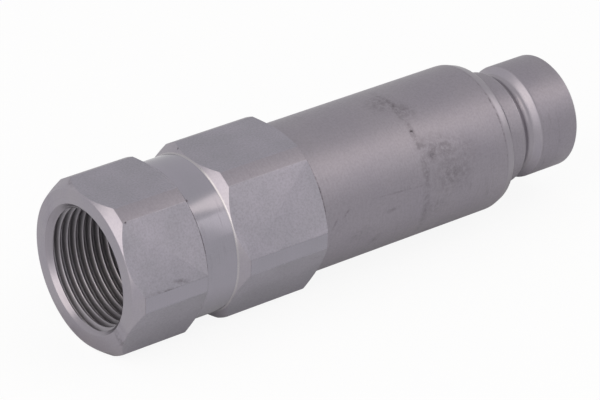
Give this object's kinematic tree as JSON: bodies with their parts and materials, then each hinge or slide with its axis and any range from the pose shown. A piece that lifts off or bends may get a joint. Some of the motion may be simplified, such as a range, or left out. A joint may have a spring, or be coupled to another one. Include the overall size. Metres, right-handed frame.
{
  "type": "hydraulic quick coupler",
  "caption": "Flat-face male quick coupler for hydraulic lines, with a female pipe-thread port, two wrench hexagons, and a pilot-relieved valve inside.",
  "frame": {"origin": "centre of the port face, on the axis of the thread", "axes": "+X along the axis from the port to the nose, +Z square to one pair of hexagon flats"},
  "size_m": [0.1448, 0.045, 0.041],
  "materials": {
    "plated_steel": "satin zinc-nickel plated turned steel",
    "turned_steel": "turned carbon steel, lightly oiled",
    "poppet_steel": "hardened and ground steel",
    "spring_steel": "drawn spring wire",
    "seal_rubber": "matte black nitrile",
    "backup_plastic": "off-white PTFE"
  },
  "bodies": {
    "housing": {"port_adapter": "plated_steel", "coupling_body": "plated_steel", "adapter_o_ring": "seal_rubber", "adapter_backup_ring": "backup_plastic", "rear_guide": "turned_steel", "spacer_tube": "turned_steel", "valve_seat_ring": "turned_steel", "seat_o_ring": "seal_rubber", "seat_backup_ring": "backup_plastic", "front_guide": "turned_steel", "guide_retaining_ring": "spring_steel", "front_spring": "spring_steel", "rear_spring": "spring_steel"},
    "front_valve": {"flat_face_poppet": "poppet_steel", "poppet_seal": "seal_rubber", "poppet_stem": "turned_steel"},
    "rear_valve": {"main_valve": "turned_steel", "main_valve_seal": "seal_rubber", "seal_retainer": "turned_steel", "pilot_plug": "turned_steel", "pilot_spring": "spring_steel"},
    "pilot_valve": {"pilot_pin": "poppet_steel"}
  },
  "joints": [
    {"name": "front_slide", "type": "slide", "parent": "housing", "child": "front_valve", "axis": [-1, 0, 0], "range_m": [0, 0.009], "stiffness_N_per_m": 2500, "springref_m": -0.008, "deforming": ["front_spring"]},
    {"name": "rear_slide", "type": "slide", "parent": "housing", "child": "rear_valve", "axis": [-1, 0, 0], "range_m": [0, 0.0068], "stiffness_N_per_m": 1500, "springref_m": -0.008, "deforming": ["rear_spring"]},
    {"name": "pilot_slide", "type": "slide", "parent": "rear_valve", "child": "pilot_valve", "axis": [-1, 0, 0], "range_m": [0, 0.0014], "stiffness_N_per_m": 300, "springref_m": -0.006, "deforming": ["pilot_spring"]}
  ],
  "couplings": [
    {"joint": "rear_slide", "follows": "front_slide", "ratio": 0.75},
    {"joint": "pilot_slide", "follows": "front_slide", "ratio": 0.15}
  ]
}
